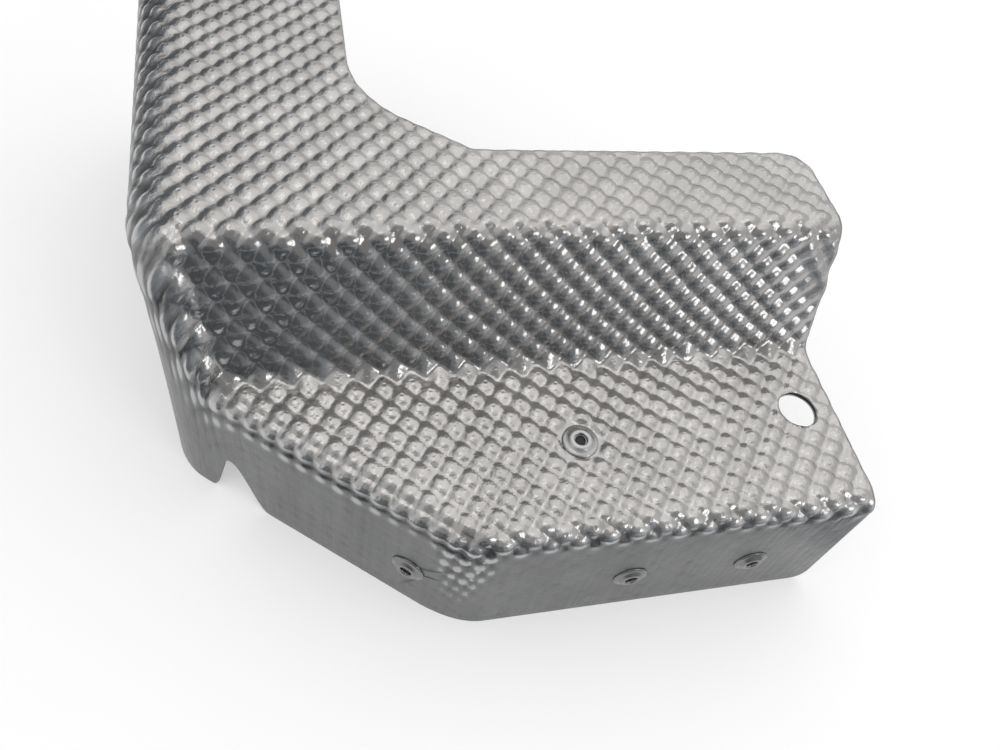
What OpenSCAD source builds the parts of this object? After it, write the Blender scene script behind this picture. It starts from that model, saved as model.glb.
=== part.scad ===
// Drawn and embossed heat shield for a car battery: an embossed outer sheet over a plain inner sheet,
// held together by four blind rivets. Millimetres, +X along the strip, +Y along the arm, +Z up.

/* [Cover outline] */
// Width from the left wall to the cut right edge
cover_w = 179; // [160:0.5:210]
// Reach from the front wall to the end of the arm
arm_reach = 195.5; // [160:0.5:240]
// Reach from the front wall to the back edge of the right-hand strip
strip_reach = 94; // [84:0.5:110]
// Width of the arm behind the strip
arm_w = 53; // [44:0.5:66]
// Angle by which the left wall opens outward along the arm
arm_splay = 2.2; // [0:0.1:4]
// Corner taken off at the front left, along the front
chamfer_x = 71; // [60:0.5:80]
// Corner taken off at the front left, along the side
chamfer_y = 56.5; // [50:0.5:62]
// Plan radius between the left wall and the front-left wall
left_corner_r = 57; // [45:0.5:62]
// Plan radius between the front-left wall and the front wall
front_corner_r = 26; // [16:0.5:34]
// Radius of the strip's back corner
strip_corner_r = 7.5; // [5:0.5:14]
// Radius of the inside corner between arm and strip
crotch_r = 31; // [20:0.5:40]
// Slope of the straight edge that leads from the inside corner to the strip
crotch_slope = 35; // [25:1:45]
// Distance from the left wall to where that sloping edge meets the strip
strip_start = 82.5; // [76:0.5:92]

/* [Steps and walls] */
// Depth of the lower shelf, from the front wall to the foot of the riser
shelf_depth = 50; // [44:0.5:58]
// Height of the riser between the two plateaus
step_h = 35; // [25:0.5:42]
// Horizontal run of the riser
riser_run = 15.3; // [10:0.1:22]
// Bend radius at the top of the riser
riser_top_r = 6; // [5:0.5:9]
// Bend radius at the foot of the riser
riser_foot_r = 5; // [4:0.5:8]
// Drop of the walls below the lower shelf
skirt_h = 44.7; // [36:0.5:56]
// Edge bend radius along the arm
arm_edge_r = 12.5; // [8:0.5:15]
// Edge bend radius along the front walls
front_edge_r = 5; // [4:0.5:7]
// Draft of the drawn left corner
corner_draft = 4.6; // [2:0.1:6]
// Draft of the front-left wall
side_draft = 2; // [1:0.1:4]
// Draft of the front wall
front_draft = 3.7; // [1:0.1:5]
// Distance along the wall from the start of the left corner to the relief notch
notch_at = 37.5; // [34:0.5:40]
// Height of the relief notch
notch_h = 19; // [8:0.5:24]
// Length of the notch's steep side
notch_rise = 6.5; // [5:0.5:9]
// Length of the notch's sloping side
notch_fall = 10.5; // [8:0.5:14]
// Radius of the front wall's lower right corner
end_corner_r = 4; // [2:0.5:4.5]

/* [Sheets] */
// Thickness of the embossed outer sheet
sheet_t = 0.5; // [0.4:0.05:0.7]
// Thickness of the plain inner sheet
inner_t = 0.5; // [0.4:0.05:0.7]
// Clearance between the two sheets
layer_gap = 0.1; // [0.05:0.05:0.3]
// Distance between neighbouring domes
emboss_pitch = 5.2; // [4.6:0.1:6.5]
// Height of the embossing from pit to dome
emboss_h = 1.1; // [0.6:0.1:1.4]
// Set-back of the inner sheet from every cut edge
inner_setback = 2.5; // [1.5:0.5:4]

/* [Rivets and fixing hole] */
// Shank diameter of the blind rivets
rivet_d = 4.8; // [4:0.1:5]
// Head diameter of the blind rivets
head_d = 9.5; // [8:0.1:10]
// Height of the domed head
head_h = 1.5; // [1:0.1:2]
// Diameter of the hole in the head
head_hole_d = 3.3; // [3:0.1:3.6]
// Diameter of the mandrel
mandrel_d = 2.7; // [2.3:0.1:2.8]
// Diameter of the upset blind end
bulb_d = 7; // [6.4:0.1:8]
// Length of the upset blind end
bulb_h = 5; // [4:0.5:7]
// Shelf rivet, distance from the left wall
shelf_rivet_x = 103.5; // [80:0.5:130]
// Shelf rivet, distance from the front wall
shelf_rivet_y = 26; // [18:0.5:32]
// Side rivet, distance along the front-left wall from the front corner
side_rivet_s = 14; // [13:0.5:30]
// First front rivet, distance from the left wall
front_rivet_a = 117.5; // [100:0.5:126]
// Second front rivet, distance from the left wall
front_rivet_b = 153.5; // [140:0.5:166]
// Depth of the wall rivets below the lower shelf
wall_rivet_z = 26.5; // [18:0.5:32]
// Diameter of the fixing hole
hole_d = 11; // [8:0.5:12]
// Fixing hole, distance from the right edge
hole_x = 11; // [9:0.5:16]
// Fixing hole, distance from the front wall
hole_y = 30; // [20:0.5:34]

/* [Hidden] */
NODES = ["outer_shell", "inner_shell",
         "rivet_shelf", "rivet_side", "rivet_front_a", "rivet_front_b",
         "mandrel_shelf", "mandrel_side", "mandrel_front_a", "mandrel_front_b"];

// Levels, with z = 0 on the lower shelf and y = 0 on the riser's foot line
y_front = -shelf_depth;
y_arm = arm_reach - shelf_depth;
y_strip = strip_reach - shelf_depth;
z_foot = -skirt_h;
emboss_e = emboss_h / 2;
grid = emboss_pitch / sqrt(2);
under_gap = sheet_t / 2 + layer_gap;

// Riser section: angle, tangent lengths and the y of each tangent point
riser_a = atan(step_h / riser_run);
top_y1 = riser_run + riser_top_r * tan(riser_a / 2);
top_y2 = top_y1 - riser_top_r * sin(riser_a);
foot_y2 = -riser_foot_r * tan(riser_a / 2);
foot_y1 = foot_y2 + riser_foot_r * sin(riser_a);
top_arc = riser_top_r * riser_a * PI / 180;
foot_arc = riser_foot_r * riser_a * PI / 180;
riser_len = (top_y2 - foot_y1) / cos(riser_a);
v_top = y_arm - top_y1;
v_foot = v_top + top_arc + riser_len;
v_front = v_foot + foot_arc + foot_y2 - y_front;

function dir(a) = [cos(a), sin(a)];
function left(a) = [-sin(a), cos(a)];
function wrap(a) = a > 180 ? a - 360 : a <= -180 ? a + 360 : a;
function ease(a, b, x) = let (u = max(0, min(1, (x - a) / (b - a)))) u * u * (3 - 2 * u);
function unit(v) = v / norm(v);

// Section of the plateaus and the riser: y at a length v along it, height and slope at a given y
function sec_y(v) =
    v < v_top ? y_arm - v
  : v < v_top + top_arc ? top_y1 - riser_top_r * sin((v - v_top) / riser_top_r * 180 / PI)
  : v < v_foot ? top_y2 - (v - v_top - top_arc) * cos(riser_a)
  : v < v_foot + foot_arc ? foot_y2 + riser_foot_r * sin(riser_a - (v - v_foot) / riser_foot_r * 180 / PI)
  : foot_y2 - (v - v_foot - foot_arc);
function sec_a(y) =
    y >= top_y1 || y <= foot_y2 ? 0
  : y > top_y2 ? asin((top_y1 - y) / riser_top_r)
  : y > foot_y1 ? riser_a
  : asin((y - foot_y2) / riser_foot_r);
function sec_z(y) =
    y >= top_y1 ? step_h
  : y > top_y2 ? step_h - riser_top_r * (1 - cos(sec_a(y)))
  : y > foot_y1 ? y * tan(riser_a)
  : y > foot_y2 ? riser_foot_r * (1 - cos(sec_a(y)))
  : 0;

// Plan lines made of straights and fillets, each piece as start, heading, signed radius and length
function head_of(pts, k) = let (d = pts[k + 1] - pts[k]) atan2(d.y, d.x);
function turn_at(pts, k) = wrap(head_of(pts, k) - head_of(pts, k - 1));
function trim_at(pts, rad, k) =
    k < 1 || k > len(pts) - 2 ? 0 : rad[k] * tan(abs(turn_at(pts, k)) / 2);
function trace(pts, rad) = [
    for (k = [0:len(pts) - 2])
        let (h = head_of(pts, k), t0 = trim_at(pts, rad, k), t1 = trim_at(pts, rad, k + 1),
             line = [pts[k] + t0 * dir(h), h, 0, norm(pts[k + 1] - pts[k]) - t0 - t1])
        each k == len(pts) - 2 ? [line]
           : let (a = turn_at(pts, k + 1))
             [line, [pts[k + 1] - t1 * dir(h), h, sign(a) * rad[k + 1], rad[k + 1] * abs(a) * PI / 180]]
];
function in_seg(g, s) =
    g[2] == 0 ? [g[0] + s * dir(g[1]), g[1]]
  : let (h = g[1] + s / g[2] * 180 / PI) [g[0] + g[2] * (left(g[1]) - left(h)), h];
function along(line, s, k = 0) =
    s <= line[k][3] || k == len(line) - 1 ? in_seg(line[k], s) : along(line, s - line[k][3], k + 1);
function foot_in(g, p) =
    let (w = p - g[0] - g[2] * left(g[1]),
         t = g[2] == 0 ? (p - g[0]) * dir(g[1])
           : g[2] > 0 ? wrap(atan2(w.y, w.x) - g[1] + 90) * g[2] * PI / 180
           : wrap(g[1] + 90 - atan2(w.y, w.x)) * -g[2] * PI / 180)
    max(0, min(g[3], t));
// Nearest place on a plan line: distance (positive on its left), length along it
function near(line, p, k = 0, s0 = 0, best = [1e6, 0]) =
    k == len(line) ? best
  : let (t = foot_in(line[k], p), q = in_seg(line[k], t), d = p - q[0],
         now = [norm(d) * (d * left(q[1]) < 0 ? -1 : 1), s0 + t])
    near(line, p, k + 1, s0 + line[k][3], abs(now[0]) < abs(best[0]) ? now : best);

// Wall line, from the arm's end round the two corners to the right edge, and its marks
corner_a = [0, y_front + chamfer_y];
corner_b = [chamfer_x, y_front];
wall_pts = [[-(y_arm - corner_a.y) * tan(arm_splay), y_arm], corner_a, corner_b, [cover_w, y_front]];
wall = trace(wall_pts, [0, left_corner_r, front_corner_r, 0]);
m1 = wall[0][3];
m2 = m1 + wall[1][3];
m3 = m2 + wall[2][3];
m4 = m3 + wall[3][3];
m5 = m4 + wall[4][3];
side_h = head_of(wall_pts, 1);

// Cut line, up the right edge, along the strip and round the inside corner to the arm's end
function cut_line(b) =
    let (x1 = cover_w - b, y1 = y_strip - b, xa = arm_w - b, k = b * tan(crotch_slope / 2),
         x2 = strip_start - k, ya = y1 + (x2 - xa) * tan(crotch_slope))
    trace([[x1, y_front], [x1, y1], [x2, y1], [xa, ya], [xa, y_arm]],
          [0, strip_corner_r - b * 0.6, grid * 2, crotch_r + b, 0]);

// Edge bend radius, draft and foot height along the wall line
function bend_r(s) = arm_edge_r + (front_edge_r - arm_edge_r) * ease(m1, m2 + 3, s);
function draft(s) =
    let (a = tan(corner_draft) * ease(m1 + 5, m1 + 33, s),
         b = a + (tan(side_draft) - a) * ease(m2 - 18, m2, s))
    b + (tan(front_draft) - b) * ease(m3 + 2, m4, s);
notch_top = notch_at + notch_rise + 1;
function corner_z(d) = end_corner_r - sqrt(max(0, end_corner_r * end_corner_r - d * d));
function foot_z(s) =
    z_foot + corner_z(max(0, s - m5 + end_corner_r))
           + notch_h * ease(notch_at, notch_at + notch_rise, s - m1)
                     * (1 - ease(notch_top, notch_top + notch_fall, s - m1));

// Drawn edge: rows 1 to 3 turn the bend, row 4 is the wall's foot; point and outward normal
rows = 4;
function edge(s, k, lift) =
    let (q = along(wall, s), n = -left(q[1]), r = bend_r(s), y_in = q[0].y - n.y * r,
         a = min(k, 3) * 30, z1 = sec_z(y_in) - r * (1 - cos(a)), f = draft(s),
         z = k < rows ? z1 : foot_z(s) + lift, p = q[0] - n * r * (1 - sin(a)) + n * f * (z1 - z),
         up = [0, -sin(sec_a(y_in)), cos(sec_a(y_in))])
    [[p.x, p.y, z], k < 3 ? unit(up * cos(a) + [n.x, n.y, 0] * sin(a))
                  : k < rows ? unit([n.x, n.y, f]) : [n.x, n.y, 0] * norm([1, f])];

// Grid place: plan point, kind (0 inside, 1 on the wall bend, 2 on a cut edge, -1 off the sheet), wall
// length, distance from the bend
function place(x, y, cut, reach) =
    let (w = near(wall, [x, y]), r = bend_r(w[1]), c = near(cut, [x, y]), d = w[0] - r)
    d < -reach || c[0] < -reach ? [x, y, -1, w[1], 0]
  : d < reach ? let (q = along(wall, w[1]), n = left(q[1]) * r) [q[0].x + n.x, q[0].y + n.y, 1, w[1], 0]
  : c[0] < reach ? let (q = along(cut, c[1])) [q[0].x, q[0].y, 2, w[1], d]
  : [x, y, 0, w[1], d];

// A sheet on a grid of x and y lines. The embossing raises and lowers alternate grid places; face 1 is
// the outer face, face 2 the inner one, and the drawn edge hangs from the places on the wall bend.
module sheet(xs, ys, cut, reach, t, d_flat, d_wall, e, lift) {
    nx = len(xs);
    ny = len(ys);
    odd = nx + ny + 1 + last_row - first_col;
    at = [for (i = [0:nx - 1]) for (j = [0:ny - 1])
            let (p = place(xs[i], ys[j], cut, reach)) j == 0 ? [p[0], ys[0], p[2], p[3], p[4]] : p];
    count = nx * ny;
    pressed = [for (i = [0:nx - 1]) for (j = [0:ny - 1])
            let (p = at[i * ny + j], far = norm([p[0], p[1]] - shelf_rivet))
            e * (far < seat_r ? -1 : ((i + j + odd) % 2 == 0 ? 1 : -1) * ease(0, grid * 1.2, p[4]))];
    rim = [for (p = at) p[2] == 1 ? 1 : 0];
    rank = [for (k = 0, c = 0; k < count; c = c + rim[k], k = k + 1) c];
    hung = [for (k = [0:count - 1]) if (rim[k] == 1) [at[k][3], k % ny == 0]];
    function face(h) = [
        for (k = [0:count - 1])
            let (p = at[k], a = sec_a(p[1]), d = d_flat + h + pressed[k])
            [p[0], p[1] - sin(a) * d, sec_z(p[1]) + cos(a) * d]];
    function hang(h) = [
        for (c = hung) for (k = [1:rows])
            let (g = edge(c[0], k, lift), d = h + d_flat + (d_wall - d_flat) * min(1, k / 3),
                 p = g[0] + g[1] * d)
            c[1] ? [p.x, ys[0], p.z] : p];
    tri = [for (i = [0:nx - 2]) [for (j = [0:ny - 2])
        let (a = i * ny + j, b = a + ny, c = b + 1, d = a + 1,
             off = [for (k = [a, b, c, d]) if (at[k][2] < 0) k],
             all = len(off) > 1 ? []
                 : len(off) == 0 ? ((i + j + odd) % 2 == 0 ? [[a, b, d], [b, c, d]] : [[a, b, c], [a, c, d]])
                 : off[0] == a ? [[b, c, d]] : off[0] == b ? [[a, c, d]]
                 : off[0] == c ? [[a, b, d]] : [[a, b, c]])
        [for (f = all) let (k = at[f[0]][2]) if (k == 0 || at[f[1]][2] != k || at[f[2]][2] != k) f]]];
    function has(i, j, a, b) =
        i < 0 || j < 0 || i > nx - 2 || j > ny - 2 ? false
      : len([for (f = tri[i][j]) for (m = [0:2]) if (f[m] == a && f[(m + 1) % 3] == b) 1]) > 0;
    function border(k) = at[k][2] > 0 || k < ny || k % ny == 0;
    ring = [for (i = [0:nx - 2]) for (j = [0:ny - 2]) for (f = tri[i][j]) for (m = [0:2])
        let (a = f[m], b = f[(m + 1) % 3])
        if (border(a) && border(b) && !has(i, j, b, a) && !has(i - 1, j, b, a) && !has(i + 1, j, b, a)
            && !has(i, j - 1, b, a) && !has(i, j + 1, b, a)) [a, b]];
    skip = count + len(hung) * rows;
    function low(k, row) = row == 0 ? k : count + rank[k] * rows + row - 1;
    function quad(a, b, c, d) = [[a, b, c], [a, c, d]];
    faces = concat(
        [for (col = tri) for (cell = col) for (f = cell) [f[0], f[2], f[1]]],
        [for (col = tri) for (cell = col) for (f = cell) [f[0] + skip, f[1] + skip, f[2] + skip]],
        [for (g = ring) let (a = g[0], b = g[1], drawn = rim[a] * rim[b] == 1, n = drawn ? rows : 0)
            each concat(
                [for (k = [1:1:n]) each quad(low(a, k - 1), low(b, k - 1), low(b, k), low(a, k))],
                [for (k = [1:1:n]) each quad(low(a, k - 1) + skip, low(a, k) + skip,
                                             low(b, k) + skip, low(b, k - 1) + skip)],
                quad(low(a, n), low(b, n), low(b, n) + skip, low(a, n) + skip),
                [for (k = [1:1:a % ny == 0 ? n : 0])
                    each quad(low(a, k - 1), low(a, k), low(a, k) + skip, low(a, k - 1) + skip)],
                [for (k = [1:1:b < ny ? n : 0])
                    each quad(low(b, k), low(b, k - 1), low(b, k - 1) + skip, low(b, k) + skip)])]);
    polyhedron(concat(face(t / 2), hang(t / 2), face(-t / 2), hang(-t / 2)), faces);
}

// Rivet places: a point on the outer sheet's middle and the two turns that set the axis
seat_r = head_d / 2 + 1;
shelf_rivet = [shelf_rivet_x, y_front + shelf_rivet_y];
function wall_place(q, h, f) =
    let (n = -left(h), d = f * (wall_rivet_z - front_edge_r))
    [[q.x + n.x * d, q.y + n.y * d, -wall_rivet_z], [0, 90 - atan(f), h - 90]];

// Grid lines of the embossing, counted so that the shelf rivet stands on a pit; both sheets share them, up
// to half a cell from their cut edges at a set-back b
v_rivet = v_front - shelf_rivet_y;
col_rivet = floor((cover_w - shelf_rivet.x) / grid - 0.5);
row_rivet = floor(v_rivet / grid - 0.5);
first_col = -floor((shelf_rivet.x - wall_pts[0].x) / grid) - 1;
last_row = ceil(shelf_rivet_y / grid);
function grid_x(b) = concat([cover_w - b],
    [for (i = [col_rivet:-1:first_col]) let (x = shelf_rivet.x + i * grid)
        if (x <= cover_w - b - grid / 2) x]);
function grid_y(b) = concat([y_arm - b],
    [for (j = [-row_rivet:last_row]) let (v = v_rivet + j * grid) if (v >= b + grid / 2) sec_y(v)]);
PLACES = [
    [[shelf_rivet.x, shelf_rivet.y, -emboss_e], [0, 0, 0]],
    wall_place(corner_b - side_rivet_s * dir(side_h), side_h, tan(side_draft)),
    wall_place([front_rivet_a, y_front], 0, tan(front_draft)),
    wall_place([front_rivet_b, y_front], 0, tan(front_draft))
];
fixing = [cover_w - hole_x, y_front + hole_y];

// Stack under a rivet head, measured down from the outer sheet's middle
seat_z = sheet_t / 2;
inner_z = -under_gap;
back_z = inner_z - inner_t;

// Middle of the whole cover on the floor
reach_left = wall_pts[0].x - sheet_t / 2;
reach_front = y_front - tan(front_draft) * (wall_rivet_z - front_edge_r) - seat_z - head_h;
middle = [(cover_w + reach_left) / 2, (y_arm + reach_front) / 2, z_foot];

module at_rivet(k) {
    translate(PLACES[k][0]) rotate(PLACES[k][1]) children();
}

module fixing_bore() {
    translate([fixing.x, fixing.y, back_z - emboss_h - 2])
        cylinder(h = emboss_h + 8, r = hole_d / 2, $fn = 96);
}

module outer_shell() {
    color([0.74, 0.74, 0.73])
    difference() {
        union() {
            sheet(grid_x(0), grid_y(0), cut_line(0), grid / 2, sheet_t, 0, 0, emboss_e, 0);
            for (k = [0:3]) at_rivet(k)
                translate([0, 0, -under_gap])
                    cylinder(h = under_gap + sheet_t / 4, r = seat_r, $fn = 64);
        }
        at_rivet(0) translate([0, 0, seat_z]) cylinder(h = 4, r = head_d / 2 + 0.2, $fn = 64);
        for (k = [0:3]) at_rivet(k)
            translate([0, 0, -4]) cylinder(h = 8, r = rivet_d / 2, $fn = 64);
        fixing_bore();
    }
}

module inner_shell() {
    b = inner_setback;
    color([0.60, 0.61, 0.62])
    difference() {
        sheet(grid_x(b), grid_y(b), cut_line(b), grid / 2, inner_t,
              -under_gap - emboss_e - inner_t / 2, -under_gap - inner_t / 2, 0, b);
        for (k = [0:3]) at_rivet(k)
            translate([0, 0, -4]) cylinder(h = 8, r = rivet_d / 2, $fn = 64);
        fixing_bore();
    }
}

// Set blind rivet: domed head, shank through both sheets, upset end behind them
module rivet_body(k) {
    cap_r = (head_d * head_d / 4 + head_h * head_h) / (2 * head_h);
    color([0.70, 0.70, 0.71])
    at_rivet(k) difference() {
        union() {
            intersection() {
                translate([0, 0, seat_z + head_h - cap_r]) sphere(r = cap_r, $fn = 96);
                translate([0, 0, seat_z]) cylinder(h = head_h + 1, r = head_d / 2, $fn = 96);
            }
            translate([0, 0, back_z - bulb_h])
                cylinder(h = bulb_h - back_z + seat_z + 0.1, r = rivet_d / 2, $fn = 64);
            translate([0, 0, back_z - bulb_h * 0.6])
                cylinder(h = bulb_h * 0.6, r = bulb_d / 2, $fn = 64);
            translate([0, 0, back_z - bulb_h])
                cylinder(h = bulb_h * 0.4, r1 = rivet_d / 2, r2 = bulb_d / 2, $fn = 64);
        }
        translate([0, 0, back_z - bulb_h - 1])
            cylinder(h = bulb_h + 12, r = mandrel_d / 2 + 0.05, $fn = 48);
        translate([0, 0, seat_z + 0.2])
            cylinder(h = head_h + 1, r = head_hole_d / 2, $fn = 48);
    }
}

// Broken mandrel left in the rivet, its head bearing on the upset end
module mandrel(k) {
    color([0.36, 0.36, 0.38])
    at_rivet(k) {
        translate([0, 0, back_z - bulb_h - 0.5])
            cylinder(h = bulb_h - back_z + 0.5, r = mandrel_d / 2, $fn = 48);
        translate([0, 0, back_z - bulb_h - 1.6])
            cylinder(h = 1.6, r = rivet_d / 2 - 0.2, $fn = 48);
    }
}

module piece(name) {
    if (name == "outer_shell") outer_shell();
    if (name == "inner_shell") inner_shell();
    for (k = [0:3]) {
        if (name == NODES[k + 2]) rivet_body(k);
        if (name == NODES[k + 6]) mandrel(k);
    }
}

translate(-middle) for (name = NODES) piece(name);
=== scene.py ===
import math

import bpy
import numpy as np
from mathutils import Matrix, Vector


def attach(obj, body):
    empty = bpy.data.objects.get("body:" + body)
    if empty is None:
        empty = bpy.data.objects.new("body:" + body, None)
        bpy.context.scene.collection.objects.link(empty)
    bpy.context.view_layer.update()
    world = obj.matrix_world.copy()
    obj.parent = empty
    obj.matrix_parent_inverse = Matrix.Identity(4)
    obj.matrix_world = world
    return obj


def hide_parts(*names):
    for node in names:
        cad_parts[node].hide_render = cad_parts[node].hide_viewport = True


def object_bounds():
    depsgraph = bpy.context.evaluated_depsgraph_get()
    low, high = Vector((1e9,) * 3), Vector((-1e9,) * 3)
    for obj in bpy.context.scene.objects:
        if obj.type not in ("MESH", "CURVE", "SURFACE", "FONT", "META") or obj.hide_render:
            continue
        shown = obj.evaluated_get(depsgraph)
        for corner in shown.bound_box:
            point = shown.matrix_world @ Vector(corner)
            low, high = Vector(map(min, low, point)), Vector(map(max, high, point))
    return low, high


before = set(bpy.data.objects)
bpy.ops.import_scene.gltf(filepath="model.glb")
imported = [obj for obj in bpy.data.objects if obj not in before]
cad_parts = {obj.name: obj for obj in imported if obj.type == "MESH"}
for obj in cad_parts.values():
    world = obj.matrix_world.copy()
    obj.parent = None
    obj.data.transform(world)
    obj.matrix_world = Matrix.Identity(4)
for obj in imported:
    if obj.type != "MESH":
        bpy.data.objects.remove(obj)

CAD_BOX = [list(v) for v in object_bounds()]

# Driving dimensions of the cover, in millimetres, with z = 0 on the lower shelf, y = 0 on the riser's
# foot line and x = 0 on the left wall's line at the front.
COVER_W = 179.0
ARM_REACH = 195.5
STRIP_REACH = 94.0
ARM_W = 53.0
ARM_SPLAY = 2.2
CHAMFER = (71.0, 56.5)
LEFT_CORNER_R = 57.0
FRONT_CORNER_R = 26.0
STRIP_CORNER_R = 7.5
CROTCH_R = 31.0
CROTCH_SLOPE = 35.0
STRIP_START = 82.5
SHELF_DEPTH = 50.0
STEP_H = 35.0
RISER_RUN = 15.3
RISER_TOP_R = 6.0
RISER_FOOT_R = 5.0
SKIRT_H = 44.7
ARM_EDGE_R = 12.5
FRONT_EDGE_R = 5.0
CORNER_DRAFT = 4.6
SIDE_DRAFT = 2.0
FRONT_DRAFT = 3.7
NOTCH_AT = 37.5
NOTCH_H = 19.0
NOTCH_RISE = 6.5
NOTCH_FALL = 10.5
END_CORNER_R = 4.0
SHEET_T = 0.5
PITCH = 5.2
EMBOSS_H = 1.1
WALL_RIVET_Z = 26.5
SIDE_RIVET_S = 14.0
FRONT_RIVET_A = 117.5
FRONT_RIVET_B = 153.5

# Level of the shelf and place of the helper axes in the row frame, from the frame itself
BOX_LO, BOX_HI = (Vector(v) * 1000 for v in CAD_BOX)
SHIFT = np.array([BOX_HI.x - COVER_W, BOX_HI.y - (ARM_REACH - SHELF_DEPTH), BOX_LO.z + SKIRT_H])

Y_FRONT = -SHELF_DEPTH
Y_ARM = ARM_REACH - SHELF_DEPTH
Y_STRIP = STRIP_REACH - SHELF_DEPTH
Z_FOOT = -SKIRT_H
RIVET_HEAD_R = 4.75
SHELF_RIVET = np.array([103.5, Y_FRONT + 26])
FIXING = np.array([COVER_W - 11, Y_FRONT + 30])
FIXING_R = 5.5

# Riser section
RISER_A = math.atan2(STEP_H, RISER_RUN)
TOP_Y1 = RISER_RUN + RISER_TOP_R * math.tan(RISER_A / 2)
TOP_Y2 = TOP_Y1 - RISER_TOP_R * math.sin(RISER_A)
FOOT_Y2 = -RISER_FOOT_R * math.tan(RISER_A / 2)
FOOT_Y1 = FOOT_Y2 + RISER_FOOT_R * math.sin(RISER_A)
TOP_ARC = RISER_TOP_R * RISER_A
FOOT_ARC = RISER_FOOT_R * RISER_A
V_TOP = Y_ARM - TOP_Y1
V_FOOT = V_TOP + TOP_ARC + (TOP_Y2 - FOOT_Y1) / math.cos(RISER_A)
V_FRONT = V_FOOT + FOOT_ARC + FOOT_Y2 - Y_FRONT


def ease(a, b, x):
    u = np.clip((x - a) / (b - a), 0, 1)
    return u * u * (3 - 2 * u)


def section_y(v):
    """y at a length v along the section of plateaus and riser."""
    return np.select(
        [v < V_TOP, v < V_TOP + TOP_ARC, v < V_FOOT, v < V_FOOT + FOOT_ARC],
        [Y_ARM - v,
         TOP_Y1 - RISER_TOP_R * np.sin((v - V_TOP) / RISER_TOP_R),
         TOP_Y2 - (v - V_TOP - TOP_ARC) * math.cos(RISER_A),
         FOOT_Y2 + RISER_FOOT_R * np.sin(RISER_A - (v - V_FOOT) / RISER_FOOT_R)],
        FOOT_Y2 - (v - V_FOOT - FOOT_ARC))


def section_v(y):
    """Length along the section at a given y."""
    a = section_slope(y)
    return np.select(
        [y >= TOP_Y1, y > TOP_Y2, y > FOOT_Y1, y > FOOT_Y2],
        [Y_ARM - y, V_TOP + RISER_TOP_R * a,
         V_TOP + TOP_ARC + (TOP_Y2 - y) / math.cos(RISER_A),
         V_FOOT + RISER_FOOT_R * (RISER_A - a)],
        V_FOOT + FOOT_ARC + FOOT_Y2 - y)


def section_slope(y):
    return np.select(
        [y >= TOP_Y1, y > TOP_Y2, y > FOOT_Y1, y > FOOT_Y2],
        [np.zeros_like(y), np.arcsin(np.clip((TOP_Y1 - y) / RISER_TOP_R, -1, 1)),
         np.full_like(y, RISER_A), np.arcsin(np.clip((y - FOOT_Y2) / RISER_FOOT_R, -1, 1))],
        0)


def section_z(y):
    a = section_slope(y)
    return np.select(
        [y >= TOP_Y1, y > TOP_Y2, y > FOOT_Y1, y > FOOT_Y2],
        [np.full_like(y, STEP_H), STEP_H - RISER_TOP_R * (1 - np.cos(a)),
         y * math.tan(RISER_A), RISER_FOOT_R * (1 - np.cos(a))],
        0)


def dirs(a):
    return np.stack([np.cos(a), np.sin(a)], -1)


def lefts(a):
    return np.stack([-np.sin(a), np.cos(a)], -1)


def wrap(a):
    return (a + math.pi) % (2 * math.pi) - math.pi


def trace(points, radii):
    """A plan line of straights and fillets: (start, heading, signed radius, length) for each piece."""
    p = [np.array(q, float) for q in points]
    head = [math.atan2(*(p[k + 1] - p[k])[::-1]) for k in range(len(p) - 1)]
    turn = [0] + [float(wrap(head[k] - head[k - 1])) for k in range(1, len(head))] + [0]
    trim = [radii[k] * math.tan(abs(turn[k]) / 2) for k in range(len(p))]
    line = []
    for k, h in enumerate(head):
        length = np.linalg.norm(p[k + 1] - p[k]) - trim[k] - trim[k + 1]
        line.append((p[k] + trim[k] * dirs(h), h, 0.0, length))
        if k + 1 < len(head):
            r = radii[k + 1]
            line.append((p[k + 1] - trim[k + 1] * dirs(h), h, math.copysign(r, turn[k + 1]), r * abs(turn[k + 1])))
    return line


def in_piece(g, s):
    start, h, r, _ = g
    s = np.asarray(s, float)
    if r == 0:
        return start + s[..., None] * dirs(h), np.full(s.shape, h)
    a = h + s / r
    return start + r * (lefts(h) - lefts(a)), a


def along(line, s):
    """Points and headings at the lengths s."""
    s = np.asarray(s, float)
    q, h, s0 = np.zeros(s.shape + (2,)), np.zeros(s.shape), 0.0
    for k, g in enumerate(line):
        here = (s >= s0 if k else s > -1e9) & ((s <= s0 + g[3]) if k < len(line) - 1 else True)
        a, b = in_piece(g, s - s0)
        q, h = np.where(here[..., None], a, q), np.where(here, b, h)
        s0 += g[3]
    return q, h


def near(line, p):
    """Signed distance (positive on the line's left) and length of the nearest place."""
    best, s_best, s0 = np.full(len(p), 1e9), np.zeros(len(p)), 0.0
    for start, h, r, length in line:
        if r == 0:
            t = (p - start) @ dirs(h)
        else:
            w = p - start - r * lefts(h)
            a = np.arctan2(w[:, 1], w[:, 0])
            t = wrap(a - h + math.pi / 2) * r if r > 0 else wrap(h + math.pi / 2 - a) * -r
        t = np.clip(t, 0, length)
        q, a = in_piece((start, h, r, length), t)
        d = p - q
        dist = np.linalg.norm(d, axis=1) * np.where((d * lefts(a)).sum(1) < 0, -1, 1)
        nearer = np.abs(dist) < np.abs(best)
        best, s_best = np.where(nearer, dist, best), np.where(nearer, s0 + t, s_best)
        s0 += length
    return best, s_best


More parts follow.
